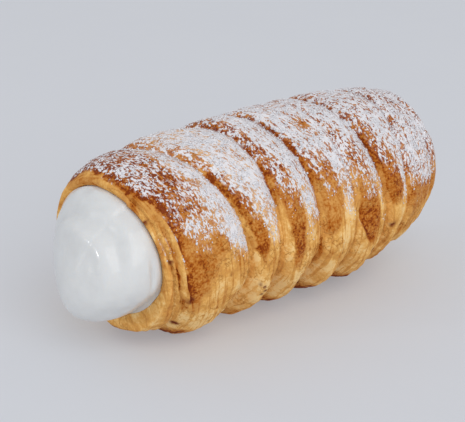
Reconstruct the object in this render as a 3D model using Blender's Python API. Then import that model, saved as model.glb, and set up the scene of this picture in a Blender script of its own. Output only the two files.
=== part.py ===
"""A cream horn: one long strip of dough wound into a horn, baked, and filled with cream.

Frame: metres, +Z up. The horn lies on its side along X, its mouth towards -X and its blunt tip
towards +X. The origin is under the middle of the whole object's box, on the surface it rests on.
Lengths below are in millimetres from the mouth; turns are counted from the mouth as well.
"""

import math

import bmesh
import bpy
from mathutils import Vector

MM = 0.001
TURN = math.tau
QUARTER = TURN / 4.0

# Along the horn: station and radius over the crests of the turns; station and height of the axis.
CREST_RADIUS = ((0.0, 22.9), (5.0, 25.9), (12.0, 27.2), (20.0, 27.9), (30.0, 28.3), (42.0, 29.0),
                (55.0, 29.1), (68.0, 29.1), (80.0, 28.8), (92.0, 27.6), (104.0, 24.0), (118.0, 18.5))
AXIS_HEIGHT = ((0.0, 26.6), (14.0, 27.0), (30.0, 27.8), (42.0, 28.5), (68.0, 28.6), (80.0, 28.5),
               (92.0, 29.6), (104.0, 31.1), (118.0, 33.3))
HORN_LENGTH = 118.0
TIP_START = 104.0
TIP_POWER = 2.9

# Where the leading edge of the strip lies each time it passes the top, the front, the bottom and
# the back of the horn. The first turn is cut away by the mouth, but for its lower end.
STRIP_EDGE = ((-18.0, -13.0, -8.0, -4.0),
              (1.0, 8.2, 13.5, 14.5),
              (20.5, 33.0, 31.5, 32.0),
              (40.0, 43.7, 46.5, 48.5),
              (52.8, 58.3, 61.0, 63.5),
              (68.5, 70.8, 74.5, 75.5),
              (78.2, 84.5, 88.0, 92.0),
              (95.0, 92.5, 98.0, 103.0),
              (106.0, 107.0, 111.0, 114.0))
STEEP_RUN = 3.8            # width of the steep side of a ridge, which faces the mouth
GENTLE_RUN = 9.0           # width of its gentle side
STEEP_SHARE = 0.4          # neither side takes more than this share of a narrow turn
GENTLE_SHARE = 0.6
GROOVE_DEPTH = 2.7         # mean depth of the groove between two turns
GROOVE_SHALLOWER = 0.9     # how much shallower it is over the top, and deeper underneath
FADED_QUARTER = 20.0       # the groove almost closes where the strip has made this many quarters
FADED_SPREAD = 1.3
FADED_SHARE = 0.9

# The start of the strip shows as a low lead below and in front of the first whole turn.
LEAD_DROP = 2.8            # mean drop of the lead below the crests
LEAD_DROP_LOWER = 0.7      # how much lower it lies underneath, and higher over the top
LEAD_GAP_DEPTH = 0.9       # the crease between the lead and the turn behind it
LEAD_GAP_RUN = 1.2
LEAD_CLOCKS = (math.radians(200.0), math.radians(320.0))   # where the lead rises into the winding

# The mouth over the top, front, bottom and back: how far it is set back, and the dough's thickness.
MOUTH_SETBACK = (1.8, 6.8, 4.0, 0.4)
LIP_THICKNESS = (3.0, 2.2, 5.8, 2.6)
LIP_BULGE = 0.6

# The hollow that the mould leaves: station and radius.
HOLLOW_RADIUS = ((0.0, 20.6), (30.0, 20.0), (60.0, 18.5), (85.0, 15.0), (100.0, 11.0))
HOLLOW_END = 100.0
HOLLOW_MOUTH_BLEND = 12.0

# The cream: a plug along the hollow and a dome in front of the mouth, which sags and leans a little.
CREAM_GAP = 0.35           # clearance between the cream and the dough
CREAM_STEP = 1.1           # the dome starts this far in front of the plug's end
DOME_REACH = 11.7
DOME_POWER = 1.95          # 2 is an ellipse, more is boxier
DOME_SWELL = (-1.0, 0.5, 0.0, -1.6)
DOME_SAG = 6.5
DOME_LEAN = 2.3
SWIRL_DEPTH = 0.5          # height of the piped swirl
SWIRL_WIND = 8.0           # radians it winds from the rim to the tip

# Mesh density
SEGMENTS = 36
OUTER_ROWS = 84
LIP_ROWS = 4
HOLLOW_ROWS = 10
DOME_ROWS = 14
TIP_CROWDING = 1.25
HOLLOW_CROWDING = 0.8
WELD = 1e-6                # metres: nearer vertices are one
CUT_SNAP = 1e-7
SHARP_ANGLE = math.radians(50.0)

PASTRY_COLOUR = (0.50, 0.24, 0.075, 1.0)
CREAM_COLOUR = (0.80, 0.80, 0.78, 1.0)


def along(points, station):
    """Height of a smooth curve through the points at a station."""
    last = len(points) - 1
    index = 0
    while index < last - 1 and station > points[index + 1][0]:
        index += 1
    x0, y0 = points[index]
    x1, y1 = points[index + 1]

    def slope(centre):
        before = points[max(centre - 1, 0)]
        after = points[min(centre + 1, last)]
        return (after[1] - before[1]) / (after[0] - before[0])

    run = x1 - x0
    part = min(max((station - x0) / run, 0.0), 1.0)
    bend0 = slope(index) * run
    bend1 = slope(index + 1) * run
    square = part * part
    cube = square * part
    return (y0 * (2 * cube - 3 * square + 1) + bend0 * (cube - 2 * square + part)
            + y1 * (3 * square - 2 * cube) + bend1 * (cube - square))


def ease(value):
    """Smooth step from 0 to 1."""
    value = min(max(value, 0.0), 1.0)
    return value * value * (3.0 - 2.0 * value)


EDGE_TRACK = tuple((4 * turn + quarter, station)
                   for turn, row in enumerate(STRIP_EDGE) for quarter, station in enumerate(row))


def edge_station(turn, clock):
    """Station of the strip's leading edge, after whole turns and a clock angle from the top."""
    quarters = 4 * turn + clock / QUARTER
    if quarters >= EDGE_TRACK[-1][0]:
        return HORN_LENGTH + quarters - EDGE_TRACK[-1][0]
    return along(EDGE_TRACK, quarters)


def groove_depth(turn, clock):
    """Depth of the groove in front of a turn."""
    depth = GROOVE_DEPTH - GROOVE_SHALLOWER * math.cos(clock)
    away = (4 * turn + clock / QUARTER - FADED_QUARTER) / FADED_SPREAD
    return depth * (1.0 - FADED_SHARE * math.exp(-away * away))


def lead_relief(station, clock):
    """How far the lead of the strip lies below the line over the crests."""
    crease = 1.0 - ease((edge_station(1, clock) - station) / LEAD_GAP_RUN)
    return LEAD_DROP - LEAD_DROP_LOWER * math.cos(clock) + LEAD_GAP_DEPTH * crease


def relief(station, clock):
    """How far the wound dough lies below the line over the crests."""
    turn = 0
    while station > edge_station(turn + 1, clock):
        turn += 1
    start = edge_station(turn, clock)
    end = edge_station(turn + 1, clock)
    width = end - start
    steep = min((station - start) / min(STEEP_RUN, STEEP_SHARE * width), 1.0)
    gentle = min((end - station) / min(GENTLE_RUN, GENTLE_SHARE * width), 1.0)
    ridge = (1.0 - (1.0 - steep) ** 2) * (1.0 - (1.0 - gentle) ** 2)
    share = (station - start) / width
    depth = (1.0 - share) * groove_depth(turn, clock) + share * groove_depth(turn + 1, clock)
    wound = depth * (1.0 - ridge)
    if turn > 0:
        return wound
    rise = ease((clock - LEAD_CLOCKS[0]) / (LEAD_CLOCKS[1] - LEAD_CLOCKS[0]))
    return lead_relief(station, clock) * (1.0 - rise) + wound * rise


def tip_taper(station):
    """1 along the horn, then falling to 0 at the tip as a rounded end."""
    if station <= TIP_START:
        return 1.0
    return math.sqrt(max(1.0 - ((station - TIP_START) / (HORN_LENGTH - TIP_START)) ** TIP_POWER, 0.0))


def outer_radius(station, clock):
    return (along(CREST_RADIUS, station) - relief(station, clock)) * tip_taper(station)


def round_the_clock(values, clock):
    """Smooth closed curve through values at the top, front, bottom and back."""
    knots = [(quarter, values[quarter % 4]) for quarter in range(-1, 6)]
    return along(knots, (clock % TURN) / QUARTER)


def mouth_station(clock):
    return round_the_clock(MOUTH_SETBACK, clock)


def mouth_radius(clock):
    """Radius of the hollow at the mouth."""
    return outer_radius(mouth_station(clock), clock) - round_the_clock(LIP_THICKNESS, clock)


def hollow_radius(station, clock):
    inside = along(HOLLOW_RADIUS, station)
    return mouth_radius(clock) + (inside - mouth_radius(clock)) * ease(station / HOLLOW_MOUTH_BLEND)


def place(station, radius, clock):
    """Point of the horn in metres: the clock angle runs from the top over the front (-Y) side."""
    return Vector((station, -radius * math.sin(clock),
                   along(AXIS_HEIGHT, station) + radius * math.cos(clock))) * MM


def ring_tube(name, rows):
    """A closed tube of stacked rings on +Z, whose two caps are fans: rows of rings to be moved."""
    mesh = bmesh.new()
    bmesh.ops.create_cone(mesh, cap_ends=True, cap_tris=True, segments=SEGMENTS,
                          radius1=1.0, radius2=1.0, depth=float(rows))
    uprights = [edge for edge in mesh.edges
                if abs(edge.verts[0].co.z - edge.verts[1].co.z) > 0.5 * rows]
    bmesh.ops.subdivide_edges(mesh, edges=uprights, cuts=rows - 1, use_grid_fill=True)
    mesh.verts.ensure_lookup_table()
    rings = [(vert, round(vert.co.z + rows / 2.0), math.atan2(vert.co.x, vert.co.y) % TURN,
              vert.co.xy.length < 0.5) for vert in mesh.verts]
    return mesh, rings


def outer_station(row, lip):
    """Stations of the outer rows from the lip to the tip, closer together round the tip."""
    return HORN_LENGTH - (HORN_LENGTH - lip) * (1.0 - row / OUTER_ROWS) ** TIP_CROWDING


def hollow_station(row, lip):
    """Stations of the rows along the hollow, from its end to the mouth."""
    return HOLLOW_END - (HOLLOW_END - lip) * (row / HOLLOW_ROWS) ** HOLLOW_CROWDING


def shell_point(row, clock, is_cap_centre):
    """Rows run from the end of the hollow to the mouth, over the lip and along the outside."""
    first_lip = HOLLOW_ROWS
    first_outer = HOLLOW_ROWS + LIP_ROWS
    lip = mouth_station(clock)
    if row <= first_lip:
        station = hollow_station(row, lip)
        radius = 0.0 if is_cap_centre else hollow_radius(station, clock)
        return station, radius
    if row < first_outer:
        share = (row - first_lip) / LIP_ROWS
        radius = mouth_radius(clock) + round_the_clock(LIP_THICKNESS, clock) * share
        return lip - LIP_BULGE * math.sin(math.pi * share), radius
    station = outer_station(row - first_outer, lip)
    radius = 0.0 if is_cap_centre else outer_radius(station, clock)
    return station, radius


def cream_point(row, clock, is_cap_centre):
    """Rows run from the end of the plug to the mouth and over the dome."""
    lip = mouth_station(clock)
    if row <= HOLLOW_ROWS:
        station = hollow_station(row, lip)
        radius = 0.0 if is_cap_centre else hollow_radius(station, clock) - CREAM_GAP
        if row == 0:
            station -= CREAM_GAP
        return station, radius, 0.0
    rise = (row - HOLLOW_ROWS - 1) / (DOME_ROWS - 1) * QUARTER
    share = math.sin(rise) ** (2.0 / DOME_POWER)
    radius = (mouth_radius(clock) - CREAM_GAP) * max(math.cos(rise), 0.0) ** (2.0 / DOME_POWER)
    radius += round_the_clock(DOME_SWELL, clock) * math.sin(2.0 * rise)
    swirl = math.sin(clock + SWIRL_WIND * rise / QUARTER)
    radius += SWIRL_DEPTH * math.sin(2.0 * rise) * swirl
    station = (lip - CREAM_STEP) * (1.0 - share) - (CREAM_STEP + DOME_REACH) * share
    if is_cap_centre:
        radius = 0.0
    return station, radius, share


def finish(mesh, name, colour, roughness):
    """Turn a bmesh into a smooth-shaded object with its own material."""
    bmesh.ops.remove_doubles(mesh, verts=mesh.verts, dist=WELD)
    bmesh.ops.triangulate(mesh, faces=mesh.faces)
    bmesh.ops.recalc_face_normals(mesh, faces=mesh.faces)
    data = bpy.data.meshes.new(name)
    mesh.to_mesh(data)
    mesh.free()
    data.shade_smooth()
    data.set_sharp_from_angle(angle=SHARP_ANGLE)
    material = bpy.data.materials.new(name)
    material.use_nodes = True
    shader = material.node_tree.nodes["Principled BSDF"]
    shader.inputs["Base Color"].default_value = colour
    shader.inputs["Roughness"].default_value = roughness
    shader.inputs["Metallic"].default_value = 0.0
    data.materials.append(material)
    piece = bpy.data.objects.new(name, data)
    bpy.context.collection.objects.link(piece)
    return piece


def make_pastry():
    """The wound shell, pressed flat where its lowest turns rest."""
    rows = HOLLOW_ROWS + LIP_ROWS + OUTER_ROWS
    mesh, rings = ring_tube("pastry", rows)
    for vert, row, clock, is_cap_centre in rings:
        station, radius = shell_point(row, clock, is_cap_centre)
        vert.co = place(station, radius, clock)
    bmesh.ops.remove_doubles(mesh, verts=mesh.verts, dist=WELD)
    whole = mesh.verts[:] + mesh.edges[:] + mesh.faces[:]
    cut = bmesh.ops.bisect_plane(mesh, geom=whole, dist=CUT_SNAP, plane_co=(0.0, 0.0, 0.0),
                                 plane_no=(0.0, 0.0, -1.0), clear_outer=True)
    rim = [item for item in cut["geom_cut"] if isinstance(item, bmesh.types.BMEdge)]
    bmesh.ops.holes_fill(mesh, edges=rim, sides=0)
    return finish(mesh, "pastry", PASTRY_COLOUR, 0.55)


def make_cream():
    """The filling, in one piece from the end of the hollow to the dome."""
    mesh, rings = ring_tube("cream", HOLLOW_ROWS + DOME_ROWS)
    for vert, row, clock, is_cap_centre in rings:
        station, radius, share = cream_point(row, clock, is_cap_centre)
        vert.co = place(station, radius, clock)
        vert.co -= Vector((0.0, DOME_LEAN * share, DOME_SAG * share * share)) * MM
    return finish(mesh, "cream", CREAM_COLOUR, 0.4)


def centre_on_origin(pieces):
    """Move the meshes so that the middle of their common box is over the origin."""
    corners = [vert.co for piece in pieces for vert in piece.data.vertices]
    low = [min(corner[axis] for corner in corners) for axis in range(3)]
    high = [max(corner[axis] for corner in corners) for axis in range(3)]
    shift = Vector((-(low[0] + high[0]) / 2.0, -(low[1] + high[1]) / 2.0, -low[2]))
    for piece in pieces:
        for vert in piece.data.vertices:
            vert.co += shift
    return low, high, shift


for old in list(bpy.data.objects):
    bpy.data.objects.remove(old, do_unlink=True)
pieces = [make_pastry(), make_cream()]
low, high, shift = centre_on_origin(pieces)
print("box in mm:", [round((high[axis] - low[axis]) / MM, 1) for axis in range(3)],
      "shift", [round(value / MM, 2) for value in shift],
      "triangles", [len(piece.data.polygons) for piece in pieces])
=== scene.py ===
# %% [markdown]
# # A cream horn, sifted with sugar
#
# A cream horn is one long strip of puff pastry. It is wound round a mould so that each turn laps
# over the last, brushed with egg, baked, slid off the mould and filled with piped cream. Last
# comes powdered sugar, sifted from above. This lesson follows the same order.

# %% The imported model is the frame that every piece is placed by
import math

import bmesh
import bpy
import numpy as np
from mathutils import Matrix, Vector


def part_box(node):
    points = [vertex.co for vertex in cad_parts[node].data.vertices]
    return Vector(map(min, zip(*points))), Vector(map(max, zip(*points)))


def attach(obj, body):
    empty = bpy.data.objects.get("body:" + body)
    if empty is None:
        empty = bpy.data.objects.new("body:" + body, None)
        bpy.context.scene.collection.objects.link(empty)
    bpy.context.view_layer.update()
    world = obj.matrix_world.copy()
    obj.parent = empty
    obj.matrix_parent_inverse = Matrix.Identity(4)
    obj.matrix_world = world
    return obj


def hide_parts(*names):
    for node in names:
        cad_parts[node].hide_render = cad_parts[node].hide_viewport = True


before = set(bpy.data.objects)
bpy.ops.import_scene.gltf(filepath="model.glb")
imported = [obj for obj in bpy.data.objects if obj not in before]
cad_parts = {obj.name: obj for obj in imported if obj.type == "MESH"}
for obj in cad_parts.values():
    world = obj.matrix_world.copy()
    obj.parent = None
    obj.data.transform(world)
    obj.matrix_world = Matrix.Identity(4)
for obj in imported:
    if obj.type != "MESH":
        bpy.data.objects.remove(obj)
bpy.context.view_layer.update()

MM = 0.001

# %% [markdown]
# ## Where things are on a horn
#
# Two numbers place any point of the dough: its station, in millimetres along the horn from the
# mouth, and its clock angle, counted from the top over the side that faces -Y. A radius then says
# how far out it lies. Sizes that change along the horn are smooth curves through a few points,
# because that is how one would describe the shape: so wide here, so wide there.

# %% The horn's outline and axis
HORN_LENGTH = 118
QUARTER = math.pi / 2
SHELL_LOW, SHELL_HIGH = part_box("pastry")
MOUTH_X = SHELL_HIGH.x / MM - HORN_LENGTH  # where station 0 lies in the frame
# station: radius over the crests, and height of the axis above the table
CREST_RADIUS = ((0, 22.9), (5, 25.9), (12, 27.2), (20, 27.9), (30, 28.3), (42, 29), (55, 29.1), (68, 29.1),
                (80, 28.8), (92, 27.6), (104, 24), (118, 18.5))
AXIS_HEIGHT = ((0, 26.6), (14, 27), (30, 27.8), (42, 28.5), (68, 28.6), (80, 28.5), (92, 29.6),
               (104, 31.1), (118, 33.3))
shell_length = (SHELL_HIGH.x - SHELL_LOW.x) / MM
print("station 0 lies at x =", round(MOUTH_X, 2), "mm; the CAD shell is", round(shell_length, 2), "mm long")

# %% A smooth curve through points
def curve(points, at):
    """A smooth curve through (position, value) points, read at an array of positions."""
    x, y = np.array(points, float).T
    slope = np.empty_like(y)
    slope[1:-1] = (y[2:] - y[:-2]) / (x[2:] - x[:-2])
    slope[0] = (y[1] - y[0]) / (x[1] - x[0])
    slope[-1] = (y[-1] - y[-2]) / (x[-1] - x[-2])
    at = np.clip(at, x[0], x[-1])
    index = np.clip(np.searchsorted(x, at, side="right") - 1, 0, len(x) - 2)
    run = x[index + 1] - x[index]
    part = (at - x[index]) / run
    square, cube = part ** 2, part ** 3
    return (y[index] * (2 * cube - 3 * square + 1) + y[index + 1] * (3 * square - 2 * cube)
            + run * (slope[index] * (cube - 2 * square + part) + slope[index + 1] * (cube - square)))


half_way = np.array([HORN_LENGTH / 2])
print("radius over the crests half-way along", curve(CREST_RADIUS, half_way).round(1), "mm")

# %% Smooth steps and bells
def held(value):
    """A value held between 0 and 1."""
    return np.clip(value, 0, 1)


def ease(value):
    """Smooth step from 0 to 1."""
    value = held(value)
    return value * value * (3 - 2 * value)


def rise(low, high, value):
    """0 below low, 1 above high, smooth between."""
    return ease((value - low) / (high - low))


def fall(low, high, value):
    """1 below low, 0 above high, smooth between."""
    return 1 - rise(low, high, value)


def between(begin, full, fading, gone, value):
    """0 outside begin to gone, 1 from full to fading, smooth between."""
    return rise(begin, full, value) * fall(fading, gone, value)


def bell(value, middle, spread):
    """1 at the middle, falling off over the spread on both sides."""
    return np.exp(-((value - middle) / spread) ** 2)


print("half-way up a step:", ease(0.5), "and one spread off a bell:", bell(1, 0, 1).round(2))

# %% Round the clock, along the horn and out to a point
TIP_START = 104
TIP_POWER = 2.9


def round_the_clock(values, clock):
    """A smooth closed curve through values at the top, front, bottom and back."""
    knots = [(quarter, values[quarter % 4]) for quarter in range(-1, 6)]
    return curve(knots, (clock % math.tau) / QUARTER)


def tip_taper(station):
    """1 along the horn, then falling to 0 at the tip as a rounded end."""
    part = held((station - TIP_START) / (HORN_LENGTH - TIP_START))
    return np.sqrt(np.maximum(1 - part ** TIP_POWER, 0))


def place(station, radius, clock):
    """Points of the horn in metres, from stations, radii and clock angles."""
    height = curve(AXIS_HEIGHT, station)
    return np.stack([station + MOUTH_X, -radius * np.sin(clock), height + radius * np.cos(clock)], -1) * MM


half_way_on_top = place(half_way, curve(CREST_RADIUS, half_way), 0 * half_way)
print("the top half-way along lies at", half_way_on_top[0].round(3), "m")

# %% [markdown]
# ## Unevenness that is the same every time
#
# Baked dough is lumpy at several sizes at once. A lattice of hashed numbers, blended smoothly,
# gives lumps of any chosen size, and the same lumps on every run.

# %% Lumps
HASH_X, HASH_Y, HASH_Z, HASH_SEED, HASH_MIX = 374761393, 668265263, 2147483647, 69069, 1274126177


def hashed(cells, seed):
    """A number from 0 to 1 for each cell of a lattice."""
    cells = cells.astype(np.int64)
    value = cells[..., 0] * HASH_X + cells[..., 1] * HASH_Y + cells[..., 2] * HASH_Z + seed * HASH_SEED
    value = (value ^ (value >> 13)) * HASH_MIX
    return ((value ^ (value >> 16)) & 0xFFFFFF) / float(0xFFFFFF)


def lumps(points, size, seed):
    """Smooth lumps from -1 to 1 at points in millimetres, about one size apart."""
    scaled = np.asarray(points, float) / size
    cell = np.floor(scaled)
    part = ease(scaled - cell)
    total = 0
    for corner in range(8):
        step = np.array([corner & 1, corner >> 1 & 1, corner >> 2 & 1])
        weight = np.prod(np.where(step == 1, part, 1 - part), axis=-1)
        total = total + weight * hashed(cell + step, seed)
    return 2 * total - 1


print("lumps at three points", lumps(np.eye(3), 1.7, 0).round(2))

# %% [markdown]
# ## The winding
#
# The strip's leading edge is one long slanting line that passes the top, the front, the bottom and
# the back of the horn again and again. The table holds the station of each pass, and between two
# passes lies one turn of dough.

# %% The strip's edge and its turns
STRIP_EDGE = ((-18, -13, -8, -4),
              (1, 8.2, 13.5, 14.5),
              (20.5, 33, 31.5, 32),
              (40, 43.7, 46.5, 48.5),
              (52.8, 58.3, 61, 63.5),
              (68.5, 70.8, 74.5, 75.5),
              (78.2, 84.5, 88, 92),
              (95, 92.5, 98, 103),
              (106, 107, 111, 114))
EDGE_TRACK = [(4 * turn + quarter, station)
              for turn, row in enumerate(STRIP_EDGE) for quarter, station in enumerate(row)]
LAST_QUARTER = EDGE_TRACK[-1][0]


def edge_station(turn, clock):
    """Station of the strip's leading edge after whole turns and a clock angle."""
    quarters = 4 * turn + clock / QUARTER
    wander = 0.28 * np.sin(2.7 * quarters + 1) + 0.16 * np.sin(6.1 * quarters)
    beyond = np.maximum(quarters - LAST_QUARTER, 0)
    return np.where(beyond > 0, HORN_LENGTH + beyond, curve(EDGE_TRACK, quarters) + wander)


def find_turn(station, clock):
    """Which turn each point lies on, and the stations of that turn's two edges."""
    turn = np.zeros(np.shape(station))
    for number in range(1, len(STRIP_EDGE) + 1):
        turn += station > edge_station(number, clock)
    return turn, edge_station(turn, clock), edge_station(turn + 1, clock)


print("turns", len(STRIP_EDGE) - 1, "widths at the front in mm",
      [round(after[1] - before[1], 1) for before, after in zip(STRIP_EDGE[1:], STRIP_EDGE[2:])])

# %% [markdown]
# ## The relief of the turns
#
# A turn swells steeply on the side that faces the mouth, where the cut edge shows, and gently on
# the other, where the next turn laps over it. Low on the sides the turns hang a little as round
# lobes between deeper grooves. One groove nearly closes over the top, and they fade at the tip.

# %% How deep the grooves are
GROOVE_DEPTH, GROOVE_SHALLOWER = 2.8, 0.8
LOBES_FROM, LOBES_TO = 96, 138  # clock angles between which the turns grow round
LOBE_DEEPER = (0, 0.4, 1, 1.1, 1.7, 0.9, 0, 0.2, 0.2, 0)  # by groove, as a share of its depth
FADED_QUARTER, FADED_SPREAD, FADED_SHARE = 20, 1.3, 0.85  # where one groove nearly closes
TIP_FADE = ((0, 1), (26, 1), (29, 0.5), (32, 0.35), (40, 0.3))  # quarters of a turn: share that is left
DEEPEST = 7.6


def side_of(clock):
    """Clock angle in degrees from the top, the same for both sides."""
    degrees = np.degrees(clock) % 360
    return np.where(degrees > 180, 360 - degrees, degrees)


def groove_depth(turn, clock):
    """Depth of the groove in front of a turn; one pass nearly closes over the top."""
    depth = GROOVE_DEPTH - GROOVE_SHALLOWER * np.cos(clock)
    deeper = np.array(LOBE_DEEPER)[np.clip(turn, 0, len(LOBE_DEEPER) - 1).astype(int)]
    depth = depth * (1 + deeper * rise(LOBES_FROM, LOBES_TO, side_of(clock)))
    quarters = 4 * turn + clock / QUARTER
    faded = 1 - FADED_SHARE * bell(quarters, FADED_QUARTER, FADED_SPREAD)
    return np.minimum(depth * faded * curve(TIP_FADE, quarters), DEEPEST)


print("groove depths at the front, in mm", groove_depth(np.arange(1, 9), QUARTER).round(1))

# %% How a turn swells between its grooves
# how far a slope reaches, in millimetres and as a share of the width, then both where a lobe hangs
STEEP, GENTLE = (3.9, 0.4, 8.2, 0.55), (9, 0.6, 12, 0.75)
STEEP_POWER, GENTLE_POWER, LOBE_POWER = 2.5, 2, 2
LEAD_DROP, LEAD_DROP_LOWER = 2.8, 0.7  # how far the strip's lead lies below the crests
LEAD_GAP_DEPTH, LEAD_GAP_RUN = 0.5, 1
LEAD_CLOCKS = (math.radians(200), math.radians(320))


def slope_run(slope, width, lobe):
    """How far a slope reaches; wider where the turn hangs as a lobe."""
    run, lobe_run = np.minimum(slope[0], slope[1] * width), np.minimum(slope[2], slope[3] * width)
    return run + (lobe_run - run) * lobe


def relief(station, clock):
    """How far the wound dough lies below the line over its crests."""
    turn, start, end = find_turn(station, clock)
    width = end - start
    lobe = rise(LOBES_FROM, LOBES_TO, side_of(clock))
    steep = np.minimum((station - start) / slope_run(STEEP, width, lobe), 1)
    gentle = np.minimum((end - station) / slope_run(GENTLE, width, lobe), 1)
    steep_power = STEEP_POWER + (LOBE_POWER - STEEP_POWER) * lobe
    ridge = (1 - (1 - steep) ** steep_power) * (1 - (1 - gentle) ** GENTLE_POWER)
    share = (station - start) / width
    depth = (1 - share) * groove_depth(turn, clock) + share * groove_depth(turn + 1, clock)
    wound = depth * (1 - ridge)
    crease = 1 - ease((end - station) / LEAD_GAP_RUN)
    lead = LEAD_DROP - LEAD_DROP_LOWER * np.cos(clock) + LEAD_GAP_DEPTH * crease
    tucked = (turn < 0.5) * fall(*LEAD_CLOCKS, clock)
    return wound * (1 - tucked) + lead * tucked


some_stations = np.arange(46, 59, 4)
print("at stations", some_stations, "the front lies", relief(some_stations, QUARTER).round(1), "mm in")

# %% How far the skin lies from the axis
TIP_TUCK = ((0, 0), (74, 0), (84, 0.9), (94, 1.5), (103, 0.9), (110, 0.3), (118, 0))
TUCK_CLOCK, TUCK_SPREAD = 130, 36  # low on the sides the last turns are drawn in a little


def outer_radius(station, clock):
    """How far the wound dough lies from the axis."""
    tuck = curve(TIP_TUCK, station) * bell(side_of(clock), TUCK_CLOCK, TUCK_SPREAD)
    return (curve(CREST_RADIUS, station) - relief(station, clock) - tuck) * tip_taper(station)


print("its radii there are", outer_radius(some_stations, QUARTER).round(1), "mm")

# %% [markdown]
# ## The mouth and the hollow
#
# The mouth is cut at a slant, so its near side is set back further than its far side. The dough is
# only a few millimetres thick there, and thicker underneath, where the strip's lead tucks in. The
# hollow behind narrows to a rounded end, as the mould does.

# %% Sizes of the mouth and the hollow
MOUTH_SETBACK = (1.8, 6.8, 4, 0.4)
LIP_THICKNESS = ((0, 3), (45, 2.3), (90, 2.3), (104, 3.2), (120, 4.9), (150, 6), (180, 5.8), (225, 3.8),
                 (270, 2.6), (315, 2.8), (360, 3))
LIP_BULGE = 0.6
HOLLOW_RADIUS = ((0, 20.6), (30, 20), (60, 18.5), (85, 15), (100, 11))
HOLLOW_END = 100
HOLLOW_MOUTH_BLEND = 12


def mouth_station(clock):
    """Where the slanted cut of the mouth lies."""
    return round_the_clock(MOUTH_SETBACK, clock)


def mouth_radius(clock):
    """The inner edge of the dough at the mouth."""
    return outer_radius(mouth_station(clock), clock) - curve(LIP_THICKNESS, np.degrees(clock))


def hollow_radius(station, clock):
    """The wall of the hollow, as round as the mould behind the mouth."""
    edge = mouth_radius(clock)
    return edge + (curve(HOLLOW_RADIUS, station) - edge) * ease(station / HOLLOW_MOUTH_BLEND)


print("mouth radii at the front and back", mouth_radius(np.array([QUARTER, 3 * QUARTER])).round(1), "mm")

# %% [markdown]
# ## One sheet of quads, rolled up
#
# The shell is a single skin: along the inside of the hollow, over the lip and back along the
# outside to the tip. It starts as a flat grid, which is rolled into a tube by moving each vertex.
# Merging the doubles then sews the seam and closes both poles.

# %% Rolling a grid
ROUND = 216


def rolled_grid(rows, columns):
    """A flat grid, with the row and the clock angle of each of its vertices."""
    sheet = bmesh.new()
    bmesh.ops.create_grid(sheet, x_segments=columns, y_segments=rows, size=1.0)
    flat = np.array([vert.co[:2] for vert in sheet.verts])
    row = np.rint((flat[:, 1] + 1) / 2 * rows)
    clock = (flat[:, 0] + 1) / 2 * math.tau
    return sheet, row, clock


def hang(name, data):
    """A new object that shows the data in the scene."""
    piece = bpy.data.objects.new(name, data)
    bpy.context.collection.objects.link(piece)
    return piece


def move_to(sheet, points):
    """Put every vertex of a sheet at its point."""
    for vert, spot in zip(sheet.verts, points):
        vert.co = spot


def sew(sheet, name):
    """Merge seam and poles, turn the faces out, and hang the mesh in the scene."""
    bmesh.ops.remove_doubles(sheet, verts=sheet.verts, dist=1e-7)
    bmesh.ops.recalc_face_normals(sheet, faces=sheet.faces)
    data = bpy.data.meshes.new(name)
    sheet.to_mesh(data)
    sheet.free()
    data.shade_smooth()
    print(name, "has", sum(len(face.vertices) - 2 for face in data.polygons), "triangles")
    return hang(name, data)


# %% The shell's rows, from the end of the hollow over the lip to the tip
HOLLOW_ROWS, LIP_ROWS, OUTER_ROWS = 12, 10, 375
HOLLOW_CROWDING, OUTER_CROWDING = 0.8, 1.2  # below 1 crowds the rows towards the lip, above 1 the tip
LIP_END = HOLLOW_ROWS + LIP_ROWS
sheet, row, clock = rolled_grid(HOLLOW_ROWS + LIP_ROWS + OUTER_ROWS, ROUND)
lip = mouth_station(clock)
lip_inner, lip_outer = mouth_radius(clock), outer_radius(lip, clock)

hollow_x = HOLLOW_END - (HOLLOW_END - lip) * held(row / HOLLOW_ROWS) ** HOLLOW_CROWDING
rows_left = held(1 - (row - LIP_END) / OUTER_ROWS)
outer_x = HORN_LENGTH - (HORN_LENGTH - lip) * rows_left ** OUTER_CROWDING
across_lip = held((row - HOLLOW_ROWS) / LIP_ROWS)
on_hollow, on_outer = row <= HOLLOW_ROWS, row >= LIP_END
on_lip = ~on_hollow & ~on_outer

lip_x = lip - LIP_BULGE * np.sin(math.pi * across_lip)
lip_radius = lip_inner + (lip_outer - lip_inner) * across_lip
station = np.where(on_hollow, hollow_x, np.where(on_lip, lip_x, outer_x))
radius = np.where(on_hollow, hollow_radius(hollow_x, clock),
                  np.where(on_lip, lip_radius, outer_radius(outer_x, clock)))
radius[row == 0] = 0
print("grid vertices", len(row))

# %% [markdown]
# ## Lumps and leaves in the crust
#
# Three sizes of lump make the crust uneven. Puff pastry also shows its leaves: fine ledges that run
# with the strip where it isn't glazed. They are lumps too, long round the winding and thin across
# it, and measured along the strip, so that they run on from turn to turn. All of it fades out in
# the hollow and at the tip, so that the cream fits and the tip closes.

# %% Where each vertex lies on the strip
TIP_RADIUS = 18  # nearer the axis than this, the skin turns to face along the horn
MM_PER_QUARTER = 44  # length of strip in a quarter of a turn
LIP_SHARE, TIP_CALM = 0.35, 6


def side_angle(radius, clock):
    """Degrees from the top, 0 to 180, on either side; the middle of the tip's end counts as 90."""
    return np.degrees(np.arccos(np.cos(clock) * held(radius / TIP_RADIUS)))


turn, start, end = find_turn(station, clock)
across = station - start  # millimetres from the strip's leading edge
wound = (4 * turn + clock / QUARTER) * MM_PER_QUARTER  # millimetres along the strip
turns_wound = turn + clock / math.tau
degrees = np.degrees(clock)
side = side_angle(radius, clock)
skin = place(station, radius, clock) / MM
free = np.where(on_outer, 1, LIP_SHARE * on_lip) * rise(0, TIP_CALM, HORN_LENGTH - station)
print("the strip is", (wound.max() * MM).round(2), "m long")

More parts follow.
